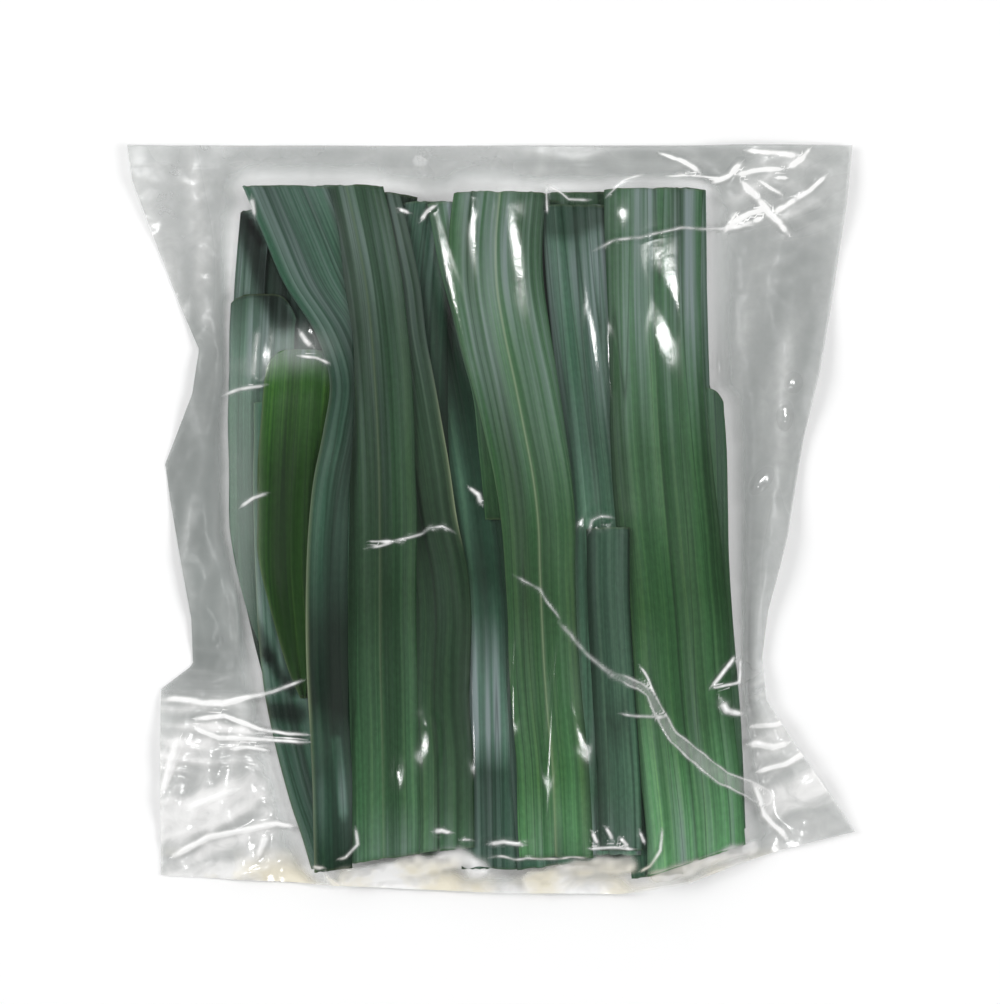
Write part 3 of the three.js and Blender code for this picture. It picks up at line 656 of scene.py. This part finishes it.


# Folds that stand out of the front film: route, half-width (or one for each end) and height in
# millimetres, milkiness (the film whitened along the fold, and in places a painted highlight),
# how rough and broken it is if not 0.25, and True if it is laid flat
creases = [
    # the long one across the middle and right-hand leaves, thin at first and then a band
    ([(8.2, -19.3), (17, -24.5), (20.5, -29.8), (24, -35.7)], 0.6, 0.2, 0.26, 0.5),
    ([(24, -35.7), (29.2, -42), (32.7, -46.2), (38, -50.8), (43.2, -55)], (0.7, 0.9), 0.2, 0.28),
    ([(42, -54), (52, -57.8), (55.5, -60.6), (57.2, -64.8), (60, -70), (64.2, -76.3), (69.5, -80.5),
     (74.7, -85), (81.7, -90.3), (90, -94.5), (96, -98)], (0.9, 2.9), 0.15, 0.3, 0.25, True),
    ([(45, -67.6), (52, -68.3), (60.7, -68.6)], (0.6, 0.7), 0.5, 0.4),
    ([(52, -51.5), (54.8, -56), (57.2, -61.3)], 0.6, 0.9, 0.7),
    # the one across the left-hand leaves
    ([(-43.6, -9.8), (-39, -9.1), (-33.8, -7.4), (-28.5, -6), (-24, -4.6), (-21.5, -2.8),
     (-17, -2.1), (-12.8, -4.2)], 0.6, 0.3, 0.4, 0.8),
    ([(-43, -7.6), (-38, -7.8), (-31, -7.6)], 0.5, 0.5, 0.5, 0.8),
    # across the right-hand leaves near their heads, out into the margin
    ([(36.2, 94.5), (43.2, 98), (52, 99), (59, 101), (66, 102.5), (73, 102.2), (83.5, 102.5),
     (94, 105)], 0.7, 0.7, 0.35, 0.5),
    # the corner of film over the middle leaves' heads, its whiteness partly a painted highlight
    ([(19.4, 117), (19.6, 107.8)], 0.5, 0.8, 0.55),
    ([(20, 117.5), (24.5, 115), (27, 112.6), (34.5, 112.6)], 0.6, 0.8, 0.5),
    # over the short leaf's end, its whiteness partly a painted highlight
    ([(34, -4), (35.2, 0), (38, 1), (42, 0.6)], (0.7, 0.6), 0.7, 0.35),
    # left side, partly painted highlights
    ([(-94.3, 43.8), (-88, 46), (-79.3, 47.3)], 0.7, 0.7, 0.5),
    ([(-82, 66), (-83, 58), (-83.3, 49.7)], (1.3, 1.0), 0.6, 0.25),
    ([(-67.5, 57.3), (-62, 56.5), (-57, 54.7)], 0.6, 0.6, 0.6),
    ([(-67, 66), (-65, 63), (-63, 61)], 0.9, 0.6, 0.6),
    ([(-88, 4.6), (-83, 8), (-78.6, 9.5)], 0.7, 0.7, 0.5),
    # from the lower left margin into the leaves, their whiteness partly a painted highlight
    ([(-117, -63), (-95, -65), (-77, -60.5), (-66, -56)], (1.2, 0.6), 1.0, 0.6),
    ([(-104, -70), (-94, -69), (-84.5, -72.5), (-77.5, -74.5), (-64.5, -75)], (0.8, 0.7), 1.3, 0.9),
    ([(-104, -73.5), (-96, -77), (-84, -77.4), (-64.5, -77.8)], (0.8, 0.7), 1.1, 0.9),
    ([(-91, -80.6), (-86, -80.4), (-79, -81.4)], 0.6, 0.8, 0.7),
    ([(-110, -78), (-113, -86), (-116, -96)], (1.6, 1.2), 1.2, 0.8),
    ([(-106, -102), (-97, -97.5), (-90, -95)], (1.0, 0.8), 1.0, 0.7),
    ([(-112, -118.5), (-100, -112), (-88, -109.2), (-75.8, -107.1), (-69.5, -107.5)], (1.1, 0.8),
     1.2, 0.9),
    ([(-80, -112), (-82, -118)], (1.2, 1.0), 0.8, 0.6),
    ([(-58, -124.5), (-54, -129.5)], 1.0, 0.8, 0.8),
    # round the leaves' feet: painted highlights where the film rolls over their ends
    ([(-0.5, -113.5), (4, -112.6), (11, -113.6)], 0.9, 0.5, 0.7),
    ([(0.2, -118), (14, -118.5), (34, -118)], (0.6, 0.5), 0.3, 0.45, 0.4),
    ([(34.5, -115), (42, -114.6), (50, -114.8)], (0.7, 0.6), 0.4, 0.7),
    ([(35.2, -109.5), (37.3, -112.7)], 0.8, 0.4, 0.8),
    ([(39.7, -107.8), (42.2, -111.5)], 0.8, 0.4, 0.7),
    ([(45, -111.3), (47.4, -114)], 0.8, 0.4, 0.8),
    ([(52, -109), (53.4, -112.5)], 0.7, 0.4, 0.7),
    ([(59.7, -108.5), (59, -115.5), (55.5, -121), (52, -123.2)], (0.7, 0.6), 0.4, 0.55),
    ([(-47.8, -108.5), (-47, -113.8), (-51.3, -118.3), (-53.7, -119)], (0.7, 0.6), 0.4, 0.5),
    ([(-20, -109.2), (-17, -108.5), (-14.5, -109.4)], (1.0, 0.8), 0.5, 0.8),
    ([(-10.3, -111.6), (-7, -112)], 0.6, 0.3, 0.5),
    ([(-62, -121.5), (-59, -121.8)], 0.7, 0.3, 0.7),
    # between the leaves: small painted glints
    ([(-7.5, 11.2), (-4.5, 8.8), (-3.7, 6)], (0.7, 0.9), 0.6, 0.8, 0.5),
    ([(-32, 108.8), (-29, 107.6)], 0.7, 0.4, 0.8),
    ([(-24.5, 105), (-22.5, 108), (-19.8, 109.8)], (0.8, 0.7), 0.5, 0.8),
    ([(-84, 112.5), (-83, 107)], (1.0, 0.9), 0.5, 0.6),
    # at the right edge of the leaves: painted highlights
    ([(77.2, -58.5), (85.2, -48.3)], 0.8, 0.8, 0.8),
    ([(77.2, -58.5), (87, -57.3), (87.3, -49)], 0.6, 0.7, 0.7),
    ([(81, -64), (82.5, -66.8), (87.5, -68.6)], (1.8, 0.9), 0.8, 0.9),
    # upper right corner, crossing each other
    ([(59.7, 129.5), (66, 127), (73, 123)], (0.6, 0.8), 0.45, 0.7, 0.6),
    ([(61.8, 121.2), (72, 121), (81, 120.6)], (0.4, 0.5), 0.45, 0.7, 0.6),
    ([(78, 119), (84, 121.5), (87.5, 125.5)], (0.7, 1.1), 0.45, 0.7, 0.8),
    ([(87, 121.8), (94, 123), (102, 123.4)], (0.9, 0.6), 0.45, 0.7, 0.8),
    ([(90, 130), (98, 128.6), (107, 128.2)], (0.8, 1.2), 0.4, 0.7, 0.8),
    ([(112, 130.5), (109, 127), (105, 124.3)], (0.7, 1.0), 0.4, 0.7, 0.8),
    ([(100.3, 120.2), (103.2, 119.8)], 0.6, 0.4, 0.6),
    ([(88.5, 119), (93, 113.5), (98, 107.5), (104.5, 101.5)], (0.9, 1.1), 0.45, 0.6, 0.95),
    ([(94.5, 118.8), (98, 116.6), (101.7, 114.5)], 0.6, 0.4, 0.6, 0.7),
    ([(117.5, 121), (112, 116), (106, 112.2), (100, 108.6)], (0.7, 0.9), 0.45, 0.6, 0.9),
    ([(81.7, 101.7), (86, 105.5), (91, 108), (96, 109.3)], (1.1, 0.8), 0.4, 0.7, 0.95),
    ([(81.5, 102.6), (88, 103.6), (95, 106)], (0.8, 0.9), 0.4, 0.6, 0.9),
    ([(83.5, 104), (86.2, 108)], (0.7, 0.5), 0.4, 0.6),
    ([(40, 113), (46, 119), (53, 121.5)], 0.5, 0.3, 0.4, 0.5),
    # across the flap at the lower right
    ([(92, -73), (100, -72), (106, -70)], (0.8, 0.7), 0.9, 0.8),
    ([(91, -79), (99, -80), (104, -78.5)], (1.1, 0.8), 1.0, 0.9),
    ([(94, -89), (103, -86), (110, -82)], (0.8, 1.0), 1.0, 0.8),
    ([(93, -93), (96, -104), (104, -112)], (0.9, 0.7), 0.9, 0.7),
]

# Places where the taut front film faces half-way between the camera and one of the two small
# lights, and so glints: place, half-width and half-length in millimetres, turn in degrees
glints = {
    "headLight": [
        ((-15, 85), (2.1, 20), 13), ((-6.1, 101), (1.0, 9), 3), ((8.4, 96), (3.4, 15), 10),
        ((46, 107), (1.3, 2.5), 0), ((35.5, 63), (1.0, 12), 7), ((40.8, 59), (0.8, 8), 3),
        ((60.0, 89.3), (4.2, 8), 22), ((63.4, 80), (3.4, 12), 5), ((59.7, 64), (3.3, 9), 10),
        ((80, 54), (0.7, 4), 0), ((-81, 57.5), (3.0, 7), -10), ((-64, 64.8), (1.4, 3), 0),
        ((38, -0.5), (2.4, 2.2), 0), ((32, -1.5), (1.2, 1.4), 0), ((106.2, 48.3), (1.5, 1.7), 0),
        ((103.4, 36.8), (1.2, 2.4), 0), ((95, 13.7), (1.1, 2.6), -40),
    ],
    "footLight": [
        ((-23, -78), (2.8, 6), 0), ((-32.7, -89), (1.1, 4), 0), ((-6.1, -76), (1.0, 11), 2),
        ((7.5, -63), (0.7, 10), 0), ((20.5, -77), (0.6, 16), -3), ((31.2, -76), (2.0, 6.5), 18),
        ((-17.5, -109), (1.4, 1.2), 0), ((5, -113), (5, 1.0), 0),
        ((82, -66), (1.5, 2), 0),
    ],
}


def mirrorSlopes(x, y, light):
    # how much a film must rise towards +X and +Y there to mirror the light to the camera
    point = Vector((x * mm, y * mm, 0.013))
    eye = Vector((*studio["pictureCentre"], studio["cameraHeight"]))
    half = (eye - point).normalized() + (Vector(studio["lights"][light][0]) - point).normalized()
    return -half.x / half.z, -half.y / half.z


def addGlints(x, y, film, lowest):
    # turns patches of the film, none of them lower than lowest; also says where they are
    swell = np.zeros(x.shape)
    for light, patches in glints.items():
        for (cx, cy), (halfWidth, halfLength), turn in patches:
            across, along = halfWidth * pouch["glintReach"], halfLength * pouch["glintReach"]
            aside, ahead = turned(x - cx, y - cy, turn)
            patch = -pouch["glintBend"] / 2 * (aside**2 / across + ahead**2 / along)
            far = (aside / max(across, pouch["glintLeast"])) ** 2 + (ahead / along) ** 2
            share = np.exp(-(far**2))
            slopeX, slopeY = mirrorSlopes(cx, cy, light)
            patch = (patch + slopeX * (x - cx) + slopeY * (y - cy)) * mm
            patch += film[np.unravel_index(far.argmin(), far.shape)]
            patch += max((lowest - patch)[far < 0.8].max(), 0)
            film = film + (patch - film) * share
            swell = np.maximum(swell, share)
    return film, swell


def creaseFields(x, y):
    # height in millimetres of all folds, milkiness and painted highlight of the flat ones, and for
    # their crisp lines the distance from the nearest in its own half-widths and how milky and
    # bright it is
    height, milk, lineMilkAndGlint = (np.zeros(x.shape) for _ in range(3))
    line = np.full(x.shape, 9.0)
    for number, (route, widths, tall, milkyAndGlinting, *more) in enumerate(creases):
        start, end = np.broadcast_to(widths, 2)
        rough = more[0] if more else 0.25
        bend = 0.4 * noise(x, y, 5, 900 + number)
        d, place = routeDistance(x + bend, y + bend, route)
        width = start + (end - start) * place
        fade = smoothstep(0, 0.1, place) * smoothstep(1, 0.9, place) * 0.7 + 0.3
        fade *= 1 + rough * noise(x, y, 2.2, 930 + number)
        if len(more) == 2:
            form = smoothstep(width + 0.7, width - 0.3, np.abs(d))
            milk = np.maximum(milk, milkyAndGlinting * form * fade * 0.7)
            own = (np.abs(d) - width) / 0.5
        else:
            form = np.exp(-((d / np.maximum(width, 1.0)) ** 2))
            own = d / width
        height = np.maximum(height, tall * form * fade)
        closer = np.abs(own) < np.abs(line)
        line = np.where(closer, own, line)
        lineMilkAndGlint = np.where(closer, milkyAndGlinting * fade * smoothstep(2.3, 1.3, np.abs(own)), lineMilkAndGlint)
    return height, milk, np.clip(line, -4, 4), lineMilkAndGlint


# Families of sharp wrinkles in the margin: direction of the ridges in degrees, spacing and
# height in millimetres, and where they are, as a centre and a reach
wrinkles = [
    (84, 11, 0.4, (112, 70), (30, 60)),
    (74, 17, 0.6, (108, 75), (34, 65)),
    (18, 7, 0.7, (97, 110), (34, 22)),
    (-38, 8, 0.6, (100, 114), (30, 20)),
    (30, 5.5, 1.2, (106, -80), (26, 30)),
    (100, 11, 0.4, (-108, 70), (26, 80)),
    (62, 14, 0.7, (-112, 105), (28, 40)),
    (84, 8, 0.45, (-100, -10), (20, 60)),
    (-6, 5.5, 1.5, (-94, -82), (38, 28)),
    (24, 7, 1.5, (-92, -108), (44, 28)),
    (68, 9, 1.2, (-96, -98), (36, 36)),
    (96, 8, 0.8, (0, -128), (130, 14)),
    (60, 11, 0.7, (20, -128), (110, 14)),
    (4, 7, 0.5, (0, 122), (130, 9)),
    (80, 14, 0.6, (0, 122), (130, 9)),
]

# Where the margin is creased and white in streaks, partly whitened film and partly painted
# highlight: rows as for the wrinkles, with how white they are for a height
whitenedAndHighlit = [
    (24, 4.5, 1.15, (-100, -100), (34, 26)),
    (-4, 3.0, 0.65, (-92, -74), (34, 13)),
    (24, 5.0, 0.95, (106, -94), (28, 30)),
    (4, 3.5, 1.85, (0, -127), (110, 10)),
    (96, 6.0, 0.5, (-118, 100), (24, 44)),
    (86, 6.0, 0.22, (108, 10), (28, 110)),
    (20, 4.0, 0.4, (102, 118), (34, 18)),
    (0, 4.0, 0.25, (0, 126), (130, 10)),
]

# Where the margin gets painted shade and looks darker: centre, reach and how much
shaded = [
    ((-99, 62), (11, 30), 0.36), ((-102, -8), (15, 52), 0.52), ((103, 40), (22, 85), 0.2),
    ((60, 122), (45, 9), 0.32), ((-60, 122), (40, 9), 0.05), ((-101, -32), (10, 18), 0.25),
    ((-88.5, -33), (4.5, 10), 0.75), ((-85, -46), (3, 6), 0.5),
    ((-85, -66), (7, 7), 0.35),
]

# Where the front film stands off the leaves and looks hazy: centre, reach and how much
slack = [((-89, 2), (7, 58), 0.8), ((-84, 54), (12, 5), 0.6), ((-68, 60), (11, 7), 1.0),
         ((-77, 57), (5, 5), 0.9)]

# Where it bridges from a leaf over to the margin: a milky band, partly a painted reflection:
# route, half-width and how much
bridged = [
    ([(-50, -126), (-30, -122), (-14, -119.8), (-8, -119.4), (-5.5, -122)], 3.7, 0.72),
    ([(14, -126), (24, -124), (36, -121.4), (47.5, -121)], 3.0, 0.66),
    ([(58, -125.5), (70, -122), (80, -118.2), (91, -115.5)], 2.6, 0.55),
]


def areaShape(x, y, centre, reach):
    # 1 at the centre, falling to nothing at about the reach
    far = ((x - centre[0]) / reach[0]) ** 2 + ((y - centre[1]) / reach[1]) ** 2
    return np.exp(-(far**1.5))


def wrinkleField(x, y, seed, strength):
    # sharp crests with broad hollows between them, bent and broken by noise
    total = np.zeros(x.shape)
    for number, (angle, spacing, height, centre, reach) in enumerate(wrinkles):
        warp = noise(x, y, spacing * 2.2, seed + number) * spacing * 0.55
        ahead, aside = turned(x, y, angle)
        phase = (aside + warp) / spacing
        profile = (1 - np.abs(phase - np.round(phase)) * 2) ** 1.7
        own = noise(np.round(phase) * 37.0, ahead, spacing * 3.2, seed + 50 + number)
        mask = areaShape(x, y, centre, reach)
        total += height * strength * profile * smoothstep(-0.35, 0.75, own) * mask
    return total


def makeFilms():
    x, y = pouchPlan()
    top, under = (readMap(field, x * mm, y * mm) for field in (tops, undersides))
    leaves = top > 1 * mm
    # how far outside the bunch a point is, in cells, by letting the bunch grow
    outside = np.where(leaves, 0.0, 99.0)
    for step in range(1, 44):
        grown = spread((outside < step).astype(float), 1) > 0
        outside = np.where(grown & (outside > step), step, outside)
    outside = soften(outside, 2)
    margin = smoothstep(*pouch["marginCells"], outside)
    # the free margin has the same slow waves as its solid
    rise = pouch["marginRise"] + 1.5 * np.sin(x / 13 + 0.6) + 1.6 * np.sin(y / 11 + x / 37)
    wave = rise * mm * smoothstep(*pouch["freeCells"], outside)

    shared = wrinkleField(x, y, 300, 1.0) * margin
    backFloor = spread(np.where(leaves, under, 3 * mm), 1, np.minimum)
    backRelief = -relax(-backFloor, *pouch["drawBack"])
    above, most = pouch["backRise"]
    backRelief = np.clip(backRelief - above, 0, most) * (1 - margin)
    back = wave + backRelief + (shared * 0.9 + wrinkleField(x, y, 400, 0.3) * margin) * mm
    back = np.maximum(back, 0.05 * mm)

    (drawnOff, leastOff), (drawnApart, leastApart) = pouch["offBlades"], pouch["offBack"]
    drawn = soften(spread(np.where(leaves, top + drawnOff, 0), 1), 1)
    floor = np.maximum(drawn, back + drawnApart)
    front = relax(floor, *pouch["drawFront"])
    tight = soften(front, *pouch["smoothing"])
    # lifted again, and smoothly, where a blade would come through
    lowest = np.where(leaves, top + leastOff, back + leastApart)
    front = tight + soften(spread(np.maximum(lowest - tight, 0), 3), 30, 12)
    front, swell = addGlints(x, y, front, lowest)
    front = front + soften(spread(np.maximum(lowest - front, 0), 2), 5)
    ridge, milk, line, lineMilkAndGlint = creaseFields(x, y)
    # a milky band along the feet, partly painted reflection
    for route, halfWidth, amount in bridged:
        across = routeDistance(x, y, route)[0] / (halfWidth * (1 + 0.35 * noise(x, y, 5, 960)))
        patchy = amount * (1 + 0.35 * noise(x, y, 2.5, 961))
        milk = np.maximum(milk, patchy * np.exp(-(across**4)))
    own = wrinkleField(x, y, 500, 0.5) * margin * (1 - swell)
    dimples = sum(
        height * noise(x, y, patch, 970 + i) for i, (height, patch) in enumerate(pouch["dimples"])
    ) * margin * (1 - swell)
    sealFrom = pouch["top"] - pouch["sealWidth"]
    seal = smoothstep(sealFrom - 0.8, sealFrom, y)
    height, spacing = pouch["sealRibs"]
    ribs = height * np.cos(y * 2 * math.pi / spacing) * seal
    front = front + (ridge * (1 - 0.7 * seal) + (own + dimples) * (1 - seal) + ribs) * mm
    back = back + ribs * mm
    white = np.zeros(x.shape)
    for number, (angle, spacing, amount, centre, reach) in enumerate(whitenedAndHighlit):
        ahead, aside = turned(x, y, angle)
        streak = 0.5 + 0.5 * noise(ahead / 9, aside, spacing, 600 + number)
        streak = amount * areaShape(x, y, centre, reach) * (0.35 + 1.1 * streak**1.5)
        white = np.maximum(white, streak)
    creased = pouch["plainGloss"] + (1 - pouch["plainGloss"]) * smoothstep(0.1, 0.5, white)
    taut = np.clip(swell + margin * creased + (milk + lineMilkAndGlint) * 2, 0, 1)
    crumple = np.clip((shared + own) / 2, 0, 1)
    loose = np.max([amount * areaShape(x, y, at, reach) for at, reach, amount in slack], axis=0)
    loose = loose * filmLook["loose"]
    haze = margin * filmLook["margin"] + filmLook["clear"]
    # painted shade of the margin
    shade = sum(amount * areaShape(x, y, at, reach) for at, reach, amount in shaded)

    for name, node, height, isFront in (
        ("frontFilm", "pouch_front_film", front, 1),
        ("backFilm", "pouch_back_film", back, 0),
    ):
        every = 1 if isFront else 2
        points = np.stack([x * mm, y * mm, height], axis=-1)
        obj = gridObject(name, points[::every, ::every])
        for field, parts in (
            ("filmState", (margin, milk * isFront, crumple * filmLook["crumple"])),
            ("filmPlace", (haze + loose * isFront, white * filmLook["white"], taut)),
            ("filmLines", (line, lineMilkAndGlint * isFront, shade)),
        ):
            setAttribute(obj, field, *(part[::every, ::every] for part in parts))
        obj.data.materials.append(filmMaterial)
        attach(obj, "root")
        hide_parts(node)


# Vacuum-pouch film: clear nylon and polythene laminate, smooth and glossy. It turns milky
# along its folds and white where it is crumpled, whiteness that is partly painted highlight,
# and is grey where it lies loose.
filmLook = {
    # cover where it is tight on the leaves, where it stands off them, and beside them
    "clear": 0.004,
    "loose": 0.24,
    "margin": 0.3,
    # cover of its crests and of its white streaks, both partly painted highlight
    "crumple": 0.3,
    "white": 0.42,
    "grey": "#a9aeac",
    "shade": "#7b807e",
    # colour of milky folds and haze, and of the painted highlights along folds
    "milk": "#cfd6d3",
    "pale": "#f6f6f5",
    "cream": "#e9e2cb",
    "creamFrom": (-0.115, -0.124),  # metres, towards the foot
    "roughness": (0.38, 0.15),  # pressed on to the leaves' veins, and free of them
    # share of light mirrored square on: pressed on to the leaves, where only the outer face
    # mirrors, and free of them, where both do
    "mirrored": (0.012, 0.06),
    # patterns of about 3 mm (fine crumples), 22 mm (clouds) and 8 mm (strands)
    "noises": (
        {"Scale": 300.0, "Detail": 3.0}, {"Scale": 45.0, "Detail": 4.0},
        {"Scale": 120.0, "Detail": 4.0, "Distortion": 1.2},
    ),
}


def makeFilmMaterial():
    material, add, numbers = newMaterial("vacuumFilm", "filmState", "filmPlace", "filmLines")
    (margin, milk, crumple), (haze, white, taut), (line, lineMilkAndGlint, shade) = numbers
    place = add("TexCoord", out="Object")
    patterns = [add("TexNoise", {"Vector": place, **given}) for given in filmLook["noises"]]
    fine, cloudy, _ = patterns
    finer, cloudier, stringy = (add("Math:ADD", pattern, 0.5) for pattern in patterns)
    # a line is crisp, and fades as a bell curve from its middle
    crisp = add("Math:POWER", math.exp(-1.4), add("Math:MULTIPLY", line, line))
    crisp = add("Math:MULTIPLY", crisp, lineMilkAndGlint)
    folded = add("Math:MULTIPLY_ADD", crisp, add("Math:ADD", fine, 0.6), milk)
    # crests and white streaks turn pale, partly painted highlight
    ridged = add("Math:MULTIPLY", crumple, finer)
    pale = add("Math:MULTIPLY", white, stringy)
    whiter = add("Math:MULTIPLY_ADD", pale, margin, ridged)
    bright = add("Math:ADD", whiter, folded)
    cover = add("Math:MULTIPLY_ADD", haze, cloudier, bright, use_clamp=True)
    shade = add("Math:MULTIPLY", shade, margin)
    cover = add("Math:ADD", cover, shade, use_clamp=True)
    shadeShare = add("Math:DIVIDE", shade, add("Math:MAXIMUM", cover, 0.01))
    # the whiteness of folds, crests and streaks, partly painted highlight, turns the colour pale
    paler = add("Math:MULTIPLY", bright, 2.4)
    # the film is creamy in clouds where it is crumpled at the foot
    atFoot = add("SeparateXYZ", place, out="Y")
    atFoot = add("MapRange", atFoot, *filmLook["creamFrom"], 0.0, 1.0)
    creamy = add("Math:MULTIPLY", atFoot, add("MapRange", cloudy, 0.42, 0.58, 0.0, 0.85))
    colour = filmLook["milk"]
    for amount, over in ((margin, "grey"), (shadeShare, "shade"), (paler, "pale"),
                         (creamy, "cream")):
        given = {0: amount, 6: colour, 7: filmLook[over]}  # an amount counts from 0 to 1
        colour = add("Mix", given, data_type="RGBA", out=2)
    height = add("Math:MULTIPLY_ADD", crisp, 3.0, fine)
    bump = add("Bump", {"Strength": 0.25, "Distance": 0.25 * mm, "Height": height})
    body = add("MixShader", cover, add("BsdfTransparent"), add("BsdfDiffuse", colour))
    gloss = add("BsdfGlossy", {
        "Color": "#ffffff", "Roughness": add("MapRange", taut, 0, 1, *filmLook["roughness"]),
        "Normal": bump,
    })
    # a thin sheet mirrors alike from both sides, so the glancing share comes from the angle
    glancing = add("Math:POWER", add("LayerWeight", 0.5, bump, out="Facing"), 5.0)
    square = add("MapRange", taut, 0, 1, *filmLook["mirrored"])
    share = add("Math:MULTIPLY_ADD", glancing, 0.95, square)
    add("OutputMaterial", add("MixShader", share, body, gloss), out=None)
    return material


filmMaterial = makeFilmMaterial()
makeFilms()
print("films made")


def buildStudio():
    bpy.ops.object.select_all(action="DESELECT")
    bpy.ops.mesh.primitive_plane_add(size=6, location=(0, 0, 0))
    floor = bpy.context.object
    floor.name = "floor"
    material, add, _ = newMaterial("paleFloor")
    shader = add("BsdfPrincipled", {"Base Color": studio["floorColour"], "Roughness": 0.9})
    add("OutputMaterial", shader, out=None)
    floor.data.materials.append(material)

    world = bpy.data.worlds.new("studioWorld")
    world.use_nodes = True
    world.node_tree.nodes.clear()
    add = partial(addNode, world.node_tree)
    side, head, up = add("SeparateXYZ", add("TexCoord", out="Generated"), out=None)
    leanX, leanY = studio["tentLean"]
    lean = add("Math:MULTIPLY_ADD", head, leanY, 1.0)
    lean = add("Math:MULTIPLY_ADD", side, leanX, lean)
    (dim, bright), (inner, outer) = studio["tentStrength"], studio["tentRim"]
    strength = add("MapRange", up, outer, inner, bright, dim, interpolation_type="SMOOTHSTEP")
    strength = add("Math:MULTIPLY", strength, lean)
    add("OutputWorld", add("Background", studio["tentColour"], strength), out=None)
    bpy.context.scene.world = world

    for name, (place, size, power) in studio["lights"].items():
        bpy.ops.object.light_add(type="AREA", location=place)
        light = bpy.context.object
        light.name = name
        light.data.shape = "RECTANGLE"
        light.data.size, light.data.size_y = size
        light.data.energy = power
        light.visible_glossy = "Fill" not in name  # the film mirrors only the two small lights
        light.rotation_euler = (-Vector(place)).to_track_quat("-Z", "Y").to_euler()

    x, y = studio["pictureCentre"]
    bpy.ops.object.camera_add(location=(x, y, studio["cameraHeight"]), rotation=(0, 0, 0))
    camera = bpy.context.object
    camera.data.sensor_width = 36
    camera.data.sensor_fit = "HORIZONTAL"
    # the 1000 by 1004 picture is taller than wide, and the fit is to its width
    distance = studio["cameraHeight"] - studio["focusHeight"]
    camera.data.lens = camera.data.sensor_width * distance / (1000 * studio["pixel"])
    bpy.context.scene.camera = camera
    bpy.context.scene.view_settings.view_transform = "Standard"


buildStudio()
print("studio built")
